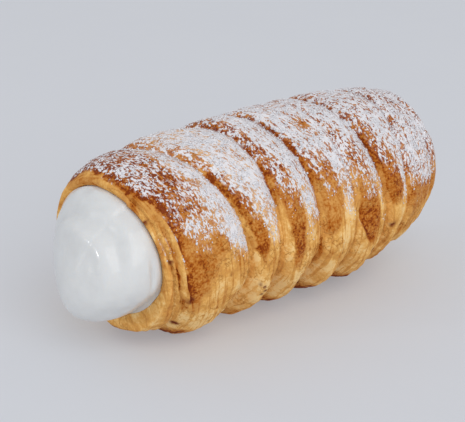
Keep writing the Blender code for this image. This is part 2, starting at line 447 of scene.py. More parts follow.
# %% Lumps and leaves
BIG_LUMP, MIDDLE_LUMP, SMALL_LUMP = (13, 0.45), (5.5, 0.26), (2.2, 0.13)  # size and height
swell = sum(height * lumps(skin, size, seed)
            for seed, (size, height) in enumerate((BIG_LUMP, MIDDLE_LUMP, SMALL_LUMP)))
LEAF_WIDTH, LEAF_LENGTH, LEAF_HEIGHT = 1.25, 18, 0.28
LEAF_CHANGE = 4  # how much the pattern changes from one turn to the next
leaf_at = np.stack([across / LEAF_WIDTH, wound / LEAF_LENGTH, turns_wound * LEAF_CHANGE], -1)
leaves = lumps(leaf_at, 1, 5) * 0.65 + lumps(leaf_at * (2.1, 1.7, 1), 1, 6) * 0.35
print("lumps stand up to", swell.max().round(2), "mm proud")

# %% [markdown]
# ## Where the oven browned it
#
# Egg wash catches on the crests, so each turn is browned from its front edge to about the middle,
# and the dough that was tucked under the next turn stays pale. Low on the sides there was no wash,
# and none on the cut face at the mouth. The browning is a mask, a number from 0 to about 1 for
# each vertex, because then one material can read it and the sugar can follow it too.

# %% Where the egg wash lies on each turn
# clock angle: station of the crust's edge behind the cut face of the mouth
CRUST_EDGE = ((0, 1.3), (18, 2.7), (30, 4.1), (40, 5.7), (50, 7.2), (62, 8.7), (76, 9.8), (88, 10.4),
              (98, 11.2), (106, 12.5), (130, 16), (180, 19))
RIM_WIDTH = 0.7
# by turn: clock angle, then from and to in millimetres behind the turn's edge, then how brown
BROWNED = (
    ((0, 0, 14, 1), (30, 0, 14.5, 1.05), (50, 0, 13, 1), (66, 0, 14, 0.8),
     (78, 0, 15, 0.72), (88, 0, 12.5, 0.8), (96, 0, 9, 0.9), (103, 0, 5.5, 0.9),
     (112, 0, 2.5, 0.4), (122, 0, 1, 0)),
    ((0, 0.4, 4.6, 0.5), (20, 0.3, 3.6, 0.75), (40, 0.2, 3.6, 1), (60, 0.5, 4.6, 1.05), (75, 1.2, 5.4, 1.1),
     (88, 1.4, 4.8, 1.15), (94, 2, 4, 0.6), (100, 2.6, 3.4, 0)),
    ((0, 0, 3.4, 0.9), (25, 0.3, 3.2, 1), (40, 0.4, 5.5, 1), (60, 1, 8.2, 0.95), (75, 1.8, 8.4, 0.9),
     (90, 2.8, 7.6, 1.15), (100, 3.2, 7, 1.15), (105, 3.8, 6, 0.5), (110, 4.5, 5.5, 0)),
    ((0, 0, 1, 1), (25, 0, 1.2, 1.1), (38, 0, 3, 1), (50, 0.4, 8, 1), (60, 0.6, 9, 0.9),
     (70, 0.8, 9, 0.8), (80, 0.8, 7.5, 0.65), (90, 0.5, 4.5, 0.6), (99, 0.5, 3, 0)),
    ((0, 0, 1.4, 0.6), (25, 0.2, 2.2, 0.9), (40, 1.6, 7, 1), (52, 2, 8.2, 1), (62, 2, 7.6, 0.9),
     (70, 1.6, 8, 0.8), (79, 1, 8.6, 0.9), (86, 0.8, 9, 1.15), (95, 1.5, 8.2, 1.05), (102, 3.4, 7, 1),
     (107, 5, 6, 0.4), (111, 5.4, 5.6, 0)),
    ((0, 0.4, 4.2, 0.4), (20, 0.6, 4.4, 0.6), (40, 0.6, 4.8, 0.95), (55, 0.5, 5.6, 1.1), (66, 0.5, 7.4, 1.05),
     (78, 0.7, 7.2, 1.05), (84, 1, 6, 0.8), (90, 2, 4.8, 0)),
    ((0, 0, 1.2, 0.3), (45, 0.5, 2.6, 0.35), (68, 0.6, 3.6, 0.4), (76, 0.4, 8, 0.6), (82, 0.3, 18, 0.95),
     (92, 0.3, 18, 0.85), (101, 0.5, 14, 0.5), (111, 0.5, 10, 0)),
    ((0, 0, 2, 0.3), (50, 0, 3, 0.35), (76, 0, 6, 0.5), (84, 0, 10, 0.9), (92, 0, 10, 0.8),
     (106, 0, 7, 0)))
print("passes of the strip with their own band of brown:", len(BROWNED))

# %% Which turn each vertex is on
BACK_FROM = 200  # clock angle past which the winding counts as the back
number = turn.astype(int)
front_side = degrees <= 180
first = (number == 1) & front_side  # the turn behind the mouth; at the back that is the lead
lead_back = (number == 0) & (degrees > BACK_FROM)
crust_edge = np.where(front_side, curve(CRUST_EDGE, degrees), lip + RIM_WIDTH)
edge_at = np.where(first | lead_back, np.maximum(crust_edge, start), start)
ragged = 0.55 * lumps(skin, 2.4, 11) + 0.35 * lumps(skin, 1.1, 12)

print("vertices on the turn behind the mouth", int(first.sum()))

# %% Bands of brown, pass by pass
FADE_FIRST, FADE_LATER = 3.6, 0.9  # how softly the brown ends, in millimetres


def browned(pass_number):
    """How brown each vertex would be on one pass of the strip over the top, front and back of it."""
    clocks, starts, stops, shares = zip(*BROWNED[min(pass_number, len(BROWNED)) - 1])
    behind = station - edge_at + ragged
    fade = FADE_FIRST if pass_number < 2 else FADE_LATER
    begin, stop = curve(list(zip(clocks, starts)), side), curve(list(zip(clocks, stops)), side)
    share = np.maximum(curve(list(zip(clocks, shares)), side + 3 * ragged), 0)
    return rise(-0.3, 0.4, behind - begin) * fall(-fade, fade, behind - stop) * share


passes = number + (degrees > 180)  # which time the strip passes over the top here
egg = np.zeros(len(row))
for pass_number in range(1, passes.max() + 1):
    here = (passes == pass_number) & (front_side | (degrees > BACK_FROM))
    egg = np.where(here, browned(pass_number), egg)
print("the strip passes over the top", passes.max(), "times")

# %% Browner over the top and beside the rope
TOP_BROWN = (0, 0.5, 0.45, 0.8, 0.85, 0.95, 1, 1.05, 1.1, 1.1)  # by pass, all over the top
TOP_FADES, TIP_PASS, TIP_LOWER = (52, 80), 7, 16  # on the last passes it reaches lower
TOP_SIDES, RIM_UPPER, RIM_LOWER = (25, 70), (40, 75), (72, 90)  # side angles
BY_ROPE, BY_ROPE_SIDES = (1.2, 1.9), (20, 50, 96, 106)
MORE_ON_TOP, MORE_AT_RIM, MORE_BY_ROPE = 0.3, 0.12, 0.32
top_ends = side + 6 * ragged - TIP_LOWER * (passes >= TIP_PASS)
over_top = np.array(TOP_BROWN)[np.clip(passes, 0, len(TOP_BROWN) - 1)] * fall(*TOP_FADES, top_ends)
top = fall(*TOP_SIDES, side)
front_edge = (first | lead_back) * bell(np.maximum(station - crust_edge, 0), 0, 2.6)
rim_edge = front_edge * fall(*RIM_UPPER, side) + 0.8 * front_edge * rise(*RIM_LOWER, side)
by_rope = first * bell(station - crust_edge, *BY_ROPE) * between(*BY_ROPE_SIDES, side)
egg = egg * on_outer * (1 + MORE_ON_TOP * top + MORE_AT_RIM * rim_edge + MORE_BY_ROPE * by_rope)
print("browned share of the skin", (egg[on_outer] > 0.5).mean().round(2))

# %% Grooves and cut faces
GROOVE_LINE, LAP_LINE = 0.55, 0.45  # widths of the baked lines on the two sides of an edge
groove = np.maximum(bell(across, 0, GROOVE_LINE), bell(end - station, 0, LAP_LINE)) * on_outer
groove = groove * (groove_depth(turn, clock) / GROOVE_DEPTH).clip(0.25, 1.2)
rim_bake = 1 - 0.8 * rise(25, 75, side)
beside_mouth = (number <= 1) & front_side | lead_back
on_rim = on_outer * beside_mouth * fall(-0.3, 0.5, station - crust_edge)
cut = held(on_lip + on_hollow + on_rim) * rim_bake
print("cut share of the skin", (cut[on_outer] > 0.5).mean().round(3))

# %% [markdown]
# ## The rope of dough round the mouth
#
# On the near side the strip's cut edge rolled up in the oven to a thin rope, between a deep crease
# towards the cream and a fine seam towards the crust. All three are placed by shares of the rim's
# width, so they follow it as it widens. Crease and seam bake as dark as a groove.

# %% Rope, crease and seam
ROPE_CLOCKS = (38, 62, 108, 124)
CREASE, ROPE, SEAM = (0.42, 0.12), (0.76, 0.17), (1.08, 0.10)  # middle and width
GROOVE_ON_FIRST, CREASE_BAKED, SEAM_BAKED = 0.25, 2.2, 1.5
rim_share = (station - start) / np.maximum(crust_edge - start, 0.5)
on_rope = first * on_outer * between(*ROPE_CLOCKS, degrees)
crease, rope, seam = (on_rope * bell(rim_share, *line) for line in (CREASE, ROPE, SEAM))
groove = np.maximum(groove * np.where(first, GROOVE_ON_FIRST, 1), CREASE_BAKED * crease + SEAM_BAKED * seam)
rope_degrees = degrees[on_rope > 0.5]
print("the rope runs over the clock angles", rope_degrees.min().round(), "to", rope_degrees.max().round())

# %% [markdown]
# ## A torn pocket and tucked folds
#
# One turn tore open as it rose and left a brown pocket, deepest at its sharp left edge. Low on the
# sides, the back of each turn is squeezed under the next one, and that fold is darker: partly
# browned, partly painted shade where it tucks under.

# %% Pocket and folds
POCKET_LEFT, POCKET_RIGHT, POCKET_SLANT = 71.2, 79.5, 0.25
POCKET_CLOCKS = (77, 84, 101, 106)
FOLD_CLOCKS, FOLD_WIDTH = (98, 116), 3.2
FOLD_BROWN_AND_SHADE, TEAR_BAKED = 1.1, 1.6
pocket_left = POCKET_LEFT + POCKET_SLANT * np.maximum(side - 88, 0)
pocket = (rise(0, 0.9, station - pocket_left) * fall(-6, 0.5, station - POCKET_RIGHT)
          * between(*POCKET_CLOCKS, side) * front_side * on_outer)
torn_edge = pocket * fall(0.4, 1.6, station - pocket_left)
# the tucked fold is darker: partly browning, partly painted shade under the next turn
tucked_under = rise(*FOLD_CLOCKS, side) * bell(end - station, 0, FOLD_WIDTH) * on_outer * ~first
groove = np.maximum(np.maximum(groove, FOLD_BROWN_AND_SHADE * tucked_under), TEAR_BAKED * torn_edge)
print("vertices in the pocket", int((pocket > 0.5).sum()))

# %% [markdown]
# ## Burnt drips and pores
#
# Butter and egg ran out in a few places and burnt to dark drips, and steam left small pores. Each
# one is a spot on the skin that falls off over its size. It darkens the crust and dents it; the
# darkness in the pores is painted shade.

# %% Drips and pores
# clock angle, station, size in millimetres, depth
BURNT_SPOTS = ((105.5, 12.3, 0.85, 0.25), (136, 13.2, 0.9, 0.3), (136, 40.6, 0.7, 0.1),
               (49, 4.2, 0.5, 0.2), (79, 7.6, 0.45, 0.2), (102, 86.8, 0.8, 0.6), (116, 80.6, 0.6, 0.4),
               (250, 36, 0.9, 0.3), (262, 71, 1, 0.3), (111, 36.2, 0.4, 0.2), (113, 37.6, 0.45, 0.2),
               (116.5, 38.4, 0.45, 0.2), (119.5, 37.8, 0.4, 0.2))
PORES = ((101, 65.4), (104.5, 65.7), (108, 66.1), (121, 90.5), (96, 25), (131, 22), (242, 52), (236, 85),
         (255, 20))
PORE_SIZE, PORE_DEPTH = 0.45, 0.35


def near(spot, station, degrees, radius):
    """1 at a spot on the skin, falling off over its size."""
    clock_angle, at_station, size = spot
    arc = radius * np.radians(degrees - clock_angle)
    return np.exp(-(arc ** 2 + (station - at_station) ** 2) / size ** 2)


burnt_and_pore_shade = np.zeros(len(row))
pitted = np.zeros(len(row))
blotched = 2.4 * (0.75 + 0.5 * lumps(skin, 0.8, 21))
for *spot, depth in BURNT_SPOTS:
    mark = near(spot, station, degrees, radius) * ~on_hollow
    burnt_and_pore_shade = np.maximum(burnt_and_pore_shade, held(mark * blotched))
    pitted += depth * mark
# pores: dented, and darkened as painted shade in the holes
for pore in PORES:
    mark = near((*pore, PORE_SIZE), station, degrees, radius) * ~on_hollow
    burnt_and_pore_shade = np.maximum(burnt_and_pore_shade, mark)
    pitted += PORE_DEPTH * mark
print(len(BURNT_SPOTS), "drips and", len(PORES), "pores, up to", pitted.max().round(2), "mm deep")

# %% [markdown]
# ## The finished shape of the shell
#
# Lumps, leaves, rope and dents add up to one movement of the skin. The lowest turns are pressed
# flat on the table, as soft dough is. The sheet's two long edges get the same shape, so that
# merging closes the seam.

# %% Moving the skin in and out
CRUMB_HEIGHT, FOLD_HEIGHT, ROPE_HEIGHT = 0.14, 0.20, 0.75
CREASE_DEPTH, SEAM_DEPTH, POCKET_DEPTH = 1.05, 0.35, 0.75
EDGE_MARGIN = 1e-4
leafy = held(1 - 0.75 * egg) * (1 + 0.6 * rise(80, 100, side))
wrinkled = rise(86, 112, side) * lumps(skin * (1, 1, 2.2), 2.6, 8)
raised = swell + FOLD_HEIGHT * wrinkled + LEAF_HEIGHT * leaves * leafy + ROPE_HEIGHT * rope
sunk = pitted + CREASE_DEPTH * crease + SEAM_DEPTH * seam + POCKET_DEPTH * pocket
moved = free * (raised - sunk + CRUMB_HEIGHT * cut * lumps(skin, 0.9, 7))
full = radius + moved
full[clock > math.tau - EDGE_MARGIN] = full[clock < EDGE_MARGIN]
shell_points = place(station, full, clock)
shell_points[:, 2] = np.maximum(shell_points[:, 2], 0)
move_to(sheet, shell_points)
print("the skin moved by", moved.min().round(2), "to", moved.max().round(2), "mm")

# %% [markdown]
# ## Writing the masks on the vertices
#
# The lowest few millimetres are darker brown, partly browned on the hot tray and partly painted
# contact shade along the bottom edge, so their mask follows the height above the table. Low on the
# sides the same mask makes the dough paler, partly paler dough and partly painted light on the
# underside. Every mask is stored on the vertices, with each vertex's place on the strip.

# %% The tray's browning and painted contact shade, and the stored masks
TRAY_BROWN_AND_SHADE, TRAY_AND_SHADE_HEIGHTS = 1.8, (3.6, 7.6)
PALE_SHARE, PALE_LOSS, PALE_STATIONS, PALE_CLOCKS = 0.42, 0.40, (44, 60), (104, 126)
STRIP_CHANGE = 5  # how much the patterns change from one turn to the next
above_tray = shell_points[:, 2] / MM + 1.2 * ragged
# paler low on the sides: partly paler dough, partly painted light on the underside
paler = (PALE_SHARE - PALE_LOSS * rise(*PALE_STATIONS, station)) * rise(*PALE_CLOCKS, side)
# darker on the lowest few millimetres: tray browning and painted contact shade
tray_brown_and_shade = (TRAY_BROWN_AND_SHADE * fall(*TRAY_AND_SHADE_HEIGHTS, above_tray) - paler) * on_outer
baked = np.maximum(egg, over_top * on_outer * (1 + 0.2 * top) * (1 - on_rim))
masks = {"egg": baked, "band": egg, "groove": groove, "cut": cut, "burnt_and_pore_shade": burnt_and_pore_shade, "tray_brown_and_shade": tray_brown_and_shade,
         "strip": np.stack([across, wound, turns_wound * STRIP_CHANGE], -1)}
layers = sheet.verts.layers
for layer_name, values in masks.items():
    layer = (layers.float if values.ndim == 1 else layers.float_vector).new(layer_name)
    for vert, value in zip(sheet.verts, values):
        vert[layer] = value
shell = sew(sheet, "pastry_shell")

# %% [markdown]
# ## Where the sugar settles
#
# Sugar is sifted from above and a little from the tip's side, so it lies thick on the backs of the
# turns, thin on the slopes that face the mouth, and hardly at all low on the sides. The mesh's own
# normals say which way each spot faces. Less stays on the glazed brown and in the baked lines, and
# a few drifts and bare patches make it uneven.

# %% Reading the finished shell back
def read_vectors(collection, name):
    """Three numbers for each vertex."""
    values = np.empty(len(collection) * 3)
    collection.foreach_get(name, values)
    return values.reshape(-1, 3)


def read_layer(name):
    """One stored mask, a number for each vertex."""
    values = np.empty(len(shell.data.vertices))
    shell.data.attributes[name].data.foreach_get("value", values)
    return values


at = read_vectors(shell.data.vertices, "co") / MM
normals = read_vectors(shell.data.vertex_normals, "vector")
along = at[:, 0] - MOUTH_X
above_axis = at[:, 2] - curve(AXIS_HEIGHT, along)
shell_clock = np.arctan2(-at[:, 1], above_axis) % math.tau
bearing = np.degrees(shell_clock)
shell_side = side_angle(np.hypot(at[:, 1], above_axis), shell_clock)
signed = np.where(bearing > 180, -shell_side, shell_side)  # minus on the back
shell_turn, shell_start, _ = find_turn(along, shell_clock)
print("the shell has", len(at), "vertices after sewing")

# %% Sugar on what faces the sieve
SIFTED_FROM = Vector((0.42, -0.10, 0.90)).normalized()
FLAT_ENOUGH = (0.02, 0.45)  # how far the skin has to face the sieve
# station: the side angle at which the sugar ends
SUGAR_END = ((0, 72), (15, 76), (28, 82), (42, 76), (54, 72), (66, 70), (77, 74), (86, 78), (92, 88),
             (100, 100), (118, 106))
USUAL_END, FOLLOWS = 77, 0.7
# side angle, where the sugar ends as usual: cover
COVER = ((-60, 0.71), (0, 0.71), (30, 0.71), (42, 0.69), (54, 0.64), (64, 0.54), (72, 0.42), (80, 0.26),
         (88, 0.09), (96, 0.02), (118, 0), (180, 0))
facing = normals @ np.array(SIFTED_FROM)
patchy = 7 * lumps(at, 7, 31) + 5 * lumps(at, 2.6, 32)
later = np.abs(signed) + FOLLOWS * (USUAL_END - curve(SUGAR_END, along)) + FOLLOWS * patchy
cover = curve(COVER, later)
print("cover before thinning, on average", cover.mean().round(2))

# %% Less on the brown, at the rim and in the grooves
THIN_ON_BROWN, THIN_ON_FIRST, THIN_AT_RIM, THIN_IN_GROOVES = 0.29, 0.41, 0.10, 0.22
THIN_AT_TIP, THIN_ON_END = 0.08, 0.34
RIM_REACH = ((-60, 1), (0, 1), (35, 1.3), (60, 2.2), (80, 3.5))
brown = np.clip(read_layer("band"), 0, 1.1)
on_first = (shell_turn == 1) & (signed >= 0) | (shell_turn == 0) & (signed < 0)
rim_at = np.where(signed > 0, curve(CRUST_EDGE, bearing), RIM_WIDTH)
behind_rim = np.maximum(along - rim_at, 0)
at_rim = on_first * bell(behind_rim, 0, curve(RIM_REACH, signed)) * rise(-30, 22, signed)
thin_on_first = THIN_ON_BROWN + (THIN_ON_FIRST - THIN_ON_BROWN) * rise(15, 45, signed)
thin = brown * np.where(on_first, thin_on_first, THIN_ON_BROWN)
cover = cover - thin - THIN_AT_RIM * at_rim
deep = np.minimum(groove_depth(shell_turn, shell_clock) / GROOVE_DEPTH, 1) * (shell_turn > 0.5)
line = bell(along, shell_start, 0.8) * deep * (1 - 0.8 * rise(84, 96, along))
cover += 0.20 * lumps(at, 5, 33) + 0.16 * lumps(at, 2.2, 34) - THIN_IN_GROOVES * line
cover -= THIN_AT_TIP * rise(86, 94, along) + THIN_ON_END * rise(106, 115, along)
print("cover after thinning, on average", cover.mean().round(2))

# %% Drifts and bare patches, and the stored mask
# clock angle, station, size in millimetres, how much more or less
DRIFTS = ((60, 15.5, 2.6, 0.26), (64, 19, 2.2, 0.3), (69, 23, 2.2, 0.36), (74, 27, 2.2, 0.42),
          (78, 30, 1.8, 0.4), (68, 54, 2.6, 0.35), (77, 100.5, 1.8, 0.4), (81, 103.5, 1.8, 0.45),
          (85, 106.5, 1.5, 0.4), (21, 65, 2.4, -0.6), (26, 102, 2.2, -0.25), (-20, 30, 3.5, 0.2))
MOST_SUGAR = 1.15
dust = cover * rise(*FLAT_ENOUGH, facing)
for *spot, amount in DRIFTS:
    drift = near(spot, along, bearing, curve(CREST_RADIUS, along))
    dust += amount * drift * rise(0.1, 0.4, facing)
dust *= 1 - np.minimum(2 * read_layer("cut"), 1)
dust = np.clip(dust, 0, MOST_SUGAR)
attribute = shell.data.attributes.new("dust", "FLOAT", "POINT")
attribute.data.foreach_set("value", dust.astype(np.float32))
print("mean sugar on the upper half", dust[shell_side < 75].mean().round(2))

# %% [markdown]
# ## The cream
#
# Stiff meringue cream is piped in until it swells out of the mouth, and it sags a little towards
# the plate. It is made as the shell is: a grid rolled into a plug that ends in a dome. The plug
# keeps a hair's breadth from the dough, so that the two pieces don't cut into each other.

# %% The plug and the dome
CREAM_GAP, CREAM_STEP = 0.15, 0.9  # clear of the dough, and how far the dome starts in front of the lip
DOME_REACH, DOME_POWER = 11.7, 1.95
DOME_SWELL = (-2.3, 0.6, 0.9, -2.9)  # wider or narrower at the top, front, bottom and back
DOME_SAG, DOME_LEAN = 6.5, 2.3
PLUG_ROWS, DOME_ROWS, CREAM_ROUND = 10, 90, 150
PLUG_END = 40

sheet, row, clock = rolled_grid(PLUG_ROWS + DOME_ROWS, CREAM_ROUND)
lip = mouth_station(clock)
plug_x = PLUG_END - (PLUG_END - lip) * held(row / PLUG_ROWS)
plug_r = (hollow_radius(plug_x, clock) - CREAM_GAP) * (row > 0)
turning = held((row - PLUG_ROWS - 1) / (DOME_ROWS - 1)) * QUARTER
forward = np.sin(turning) ** (2 / DOME_POWER)
inward = np.maximum(np.cos(turning), 0) ** (2 / DOME_POWER)
dome_x = (lip - CREAM_STEP) * (1 - forward) - (CREAM_STEP + DOME_REACH) * forward
swelling = round_the_clock(DOME_SWELL, clock) * np.sin(2 * turning)
dome_r = (mouth_radius(clock) - CREAM_GAP) * inward + swelling
on_plug = row <= PLUG_ROWS
cream_points = place(np.where(on_plug, plug_x, dome_x), np.where(on_plug, plug_r, dome_r), clock) / MM
shift = np.where(on_plug, 0, forward)
cream_points[:, 1] -= DOME_LEAN * shift
cream_points[:, 2] -= DOME_SAG * shift * shift
print("the dome reaches", (MOUTH_X - cream_points[:, 0].min()).round(1), "mm out of the mouth")

# %% [markdown]
# ### The swirl on the dome
#
# The nozzle left one lazy swirl, a ridge beside a hollow, softened as the cream settled. It
# wanders and fades round the clock. A sharp fold, a streak and a few creases lie by the near lip.

# %% Pushing the dome in and out
# signed clock angle: degrees from the lip over the dome to the swirl, and how strong it is
SWIRL_RING = ((-70, 30), (-28, 33), (2, 36), (40, 34), (63, 40), (110, 52), (150, 60))
SWIRL_STRENGTH = ((-180, 0), (-70, 0.1), (-25, 1), (50, 1), (75, 0.45), (110, 0.2), (180, 0))
RIDGE, HOLLOW = (0.70, 5, 7), (0.95, -9, 6.5)  # height, middle and width
LOBE_HEIGHT, WRINKLE_HEIGHT, STREAK_HEIGHT, FOLD_DEPTH = 0.30, 0.20, 0.18, 0.75
outward = np.stack([-forward * 1.2, -np.sin(clock) * inward, np.cos(clock) * inward], -1)
outward /= np.linalg.norm(outward, axis=1)[:, None]
degrees = np.degrees(clock)
around = np.where(degrees > 180, degrees - 360, degrees)
tilt = np.degrees(turning)
beyond = tilt - curve(SWIRL_RING, around) + 2 * lumps(cream_points, 6, 43)
swirl = RIDGE[0] * bell(beyond, *RIDGE[1:]) - HOLLOW[0] * bell(beyond, *HOLLOW[1:])
lobes = bell(tilt, 6, 6) * lumps(np.stack([around / 11, 0 * tilt, 0 * tilt], -1), 1, 44)
fold = bell(tilt, 8 + 0.06 * (around - 90), 2.2) * bell(around, 88, 9)
streak = bell(tilt, 13 + 0.4 * (around - 82), 1.5) * bell(around, 81, 4)
creases = fall(20, 45, tilt) * bell(around, 112, 18) * lumps(cream_points, 1.8, 45)
soft = 0.17 * lumps(cream_points, 8, 41) + 0.09 * lumps(cream_points, 2.6, 42)
push = (curve(SWIRL_STRENGTH, around) * swirl + LOBE_HEIGHT * lobes + soft
        + WRINKLE_HEIGHT * creases - FOLD_DEPTH * fold + STREAK_HEIGHT * streak)
push *= ~on_plug * ease((DOME_ROWS + PLUG_ROWS - row) / 14) * rise(0, 3, tilt)
move_to(sheet, (cream_points + outward * push[:, None]) * MM)
cream = sew(sheet, "cream_dome")

# %% [markdown]
# ## Grains of sugar
#
# Seen close, the dusting is countless tiny clumps. Each is a faceted bead, squashed against the
# crust and turned at random. Arrays copy one bead to places drawn at random on the shell, more
# often where the sugar mask is high: fine grains everywhere, coarser clumps where it drifted.

# %% One bead
def bead():
    """One faceted bead as arrays of corners and triangles."""
    lump = bmesh.new()
    bmesh.ops.create_icosphere(lump, subdivisions=1, radius=1.0)
    corners = np.array([vert.co[:] for vert in lump.verts])
    faces = np.array([[vert.index for vert in face.verts] for face in lump.faces])
    lump.free()
    return corners, faces


print("a bead has", len(bead()[1]), "triangles")

# %% The shell's triangles and their areas
shell.data.calc_loop_triangles()
TRIANGLES = np.empty((len(shell.data.loop_triangles), 3), int)
shell.data.loop_triangles.foreach_get("vertices", TRIANGLES.ravel())
first_corner, second_corner, third_corner = (at[TRIANGLES[:, corner]] for corner in range(3))
AREA = np.linalg.norm(np.cross(second_corner - first_corner, third_corner - first_corner), axis=1) / 2

print("the shell's skin, inside and out, is", (AREA.sum() / 100).round(), "square centimetres")

# %% Scattering beads over the shell
SEED = 7
SMALL_ONES = 2.5  # above 1 there are more small beads than large ones
STRETCHES, ROUGHNESSES, LIFT = (0.6, 1.5), (0.55, 1.25), 0.15
rng = np.random.default_rng(SEED)


def scatter(name, count, chance, small, large, flatness):
    """Beads on the shell: how many, how likely at each vertex, and their sizes in millimetres."""
    weight = AREA * chance[TRIANGLES].mean(axis=1)
    picked = rng.choice(len(TRIANGLES), count, p=weight / weight.sum())
    u, v = rng.random((2, count))
    flip = u + v > 1
    u, v = np.where(flip, 1 - u, u), np.where(flip, 1 - v, v)
    a, b, c = (TRIANGLES[picked, corner] for corner in range(3))
    centre = at[a] + (at[b] - at[a]) * u[:, None] + (at[c] - at[a]) * v[:, None]
    up = normals[a]
    size = small + (large - small) * rng.random(count) ** SMALL_ONES
    sideways = np.cross(up, rng.normal(size=(count, 3)))
    sideways /= np.linalg.norm(sideways, axis=1)[:, None]
    third = np.cross(up, sideways)
    corners, faces = bead()
    stretch = rng.uniform(*STRETCHES, (count, 1))
    rough = corners[None] * rng.uniform(*ROUGHNESSES, (count, len(corners), 1))
    turned = (rough[:, :, 0, None] * (sideways * stretch)[:, None] + rough[:, :, 1, None] * third[:, None]
              + rough[:, :, 2, None] * flatness * up[:, None])
    spots = centre[:, None] + turned * size[:, None, None] / 2 + up[:, None] * size[:, None, None] * LIFT
    joined = (faces[None] + (np.arange(count) * len(corners))[:, None, None]).reshape(-1, 3)
    data = bpy.data.meshes.new(name)
    data.from_pydata((spots.reshape(-1, 3) * MM).tolist(), [], joined.tolist())
    data.shade_smooth()
    print(name, count, "beads,", len(joined), "triangles")
    return hang(name, data)


print("the random draws start from", SEED)

# %% Fine grains and coarse clumps
# how many, smallest and largest in millimetres, flatness
FINE, COARSE = (9600, 0.24, 0.62, 0.45), (4200, 0.55, 1, 0.4)
cluster = held(0.5 + 1.4 * lumps(at, 1.6, 51) + 0.6 * lumps(at, 0.8, 52))
fine_sugar = scatter("sugar_grains", FINE[0], dust * (0.2 + cluster), *FINE[1:])
coarse_sugar = scatter("sugar_clumps", COARSE[0], dust ** 1.6 * cluster, *COARSE[1:])

# %% [markdown]
# ## Finishes
#
# Each finish is built from the same few effects: a mottle that shifts colour, and a grain that
# roughens the surface. They are node groups with named sockets, so each material sets its own
# sizes. Everything is read in Object coordinates or from the masks on the vertices. The helpers
# all add to the tree in hand, which is called tree.

# %% Helpers that join nodes
def wire(source, target):
    """Join a socket, or set a plain value, on a target socket of the tree in hand."""
    if isinstance(source, bpy.types.NodeSocket):
        tree.links.new(source, target)
    else:
        target.default_value = source


def node_with(kind, **values):
    """A new node, with its named inputs wired or set."""
    node = tree.nodes.new("ShaderNode" + kind)
    for name, value in values.items():
        wire(value, node.inputs[name.replace("_", " ")])
    return node


def maths(operation, first, *others):
    """The first value with each of the others added to it, multiplied by it and so on, in turn."""
    for other in others:
        node = node_with("Math")
        node.operation = operation
        wire(first, node.inputs[0])
        wire(other, node.inputs[1])
        first = node.outputs[0]
    return first


def plus(*values):
    return maths("ADD", *values)


def minus(first, second):
    return maths("SUBTRACT", first, second)


def times(*values):
    return maths("MULTIPLY", *values)


def steps(value, low, high):
    """A smooth step of a value between two limits."""
    node = node_with("MapRange", Value=value, From_Min=low, From_Max=high)
    node.interpolation_type = "SMOOTHSTEP"
    return node.outputs["Result"]


def blend(share, first, second, kind="RGBA"):
    """One colour, or one FLOAT value, going over into another."""
    node = tree.nodes.new("ShaderNodeMix")
    node.data_type = kind
    for name, value in (("Factor", share), ("A", first), ("B", second)):
        wire(value, node.inputs[name])
    return node.outputs["Result"]


def noise(at_vector, scale, detail=2, roughness=0.55):
    """Noise over a vector, about half everywhere."""
    return node_with("TexNoise", Vector=at_vector, Scale=scale, Detail=detail,
                     Roughness=roughness).outputs["Fac"]


print("maths, blends and noise are ready")

# %% Helpers that set up groups and materials
def new_group(name, inputs, output):
    """An empty shader group with named inputs and one output."""
    group = bpy.data.node_groups.new(name, "ShaderNodeTree")
    for socket_name, default in inputs:
        kind = "NodeSocketVector" if default is None else "NodeSocketFloat"
        socket = group.interface.new_socket(name=socket_name, in_out="INPUT", socket_type=kind)
        if default is not None:
            socket.default_value = default
    group.interface.new_socket(name=output, in_out="OUTPUT", socket_type="NodeSocketFloat")
    return group, group.nodes.new("NodeGroupInput").outputs, group.nodes.new("NodeGroupOutput").inputs[output]


def place_group(group, **values):
    """A group in a tree, with its inputs set; gives its one output."""
    node = tree.nodes.new("ShaderNodeGroup")
    node.node_tree = group
    for name, value in values.items():
        wire(value, node.inputs[name])
    return node.outputs[0]


def new_material(name, slot_colour, **settings):
    """A material, its tree and its shader, and the Object coordinates that patterns are laid by."""
    material = bpy.data.materials.new(name)
    material.use_nodes = True
    material.diffuse_color = slot_colour
    tree = material.node_tree
    shader = tree.nodes["Principled BSDF"]
    for setting, value in settings.items():
        shader.inputs[setting.replace("_", " ")].default_value = value
    return material, tree, shader, tree.nodes.new("ShaderNodeTexCoord").outputs["Object"]


def roughen(shader, height, strength, distance):
    """Let a height tilt the light on a surface."""
    bump = node_with("Bump", Strength=strength, Distance=distance, Height=height)
    wire(bump.outputs["Normal"], shader.inputs["Normal"])


print("groups and materials are ready")

# %% [markdown]
# ### Mottle and grain
#
# Mottle is a patchy mask from two sizes of noise. Grain is a height made of pits and crumbs, for
# bump. Both take their size in millimetres.

# %% The two shared effects
MOTTLE, inside, mask_out = new_group(
    "Mottle", (("At", None), ("Size", 5), ("Fine", 0.4), ("Low", 0.4), ("High", 0.6)), "Mask")
tree = MOTTLE
per_mm = maths("DIVIDE", 1 / MM, inside["Size"])
broad, narrow = noise(inside["At"], per_mm), noise(inside["At"], times(per_mm, 4.3))
both = plus(times(narrow, inside["Fine"]), times(broad, minus(1, inside["Fine"])))
wire(steps(both, inside["Low"], inside["High"]), mask_out)

GRAIN, inside, height_out = new_group("Grain", (("At", None), ("Size", 0.8), ("Pits", 0.5)), "Height")
tree = GRAIN
per_mm = maths("DIVIDE", 1 / MM, inside["Size"])
crumb = noise(inside["At"], per_mm, 3, 0.6)
pit = steps(noise(inside["At"], times(per_mm, 0.45), 1), 0.62, 0.74)
wire(minus(crumb, times(pit, inside["Pits"])), height_out)
print("groups", MOTTLE.name, "and", GRAIN.name)

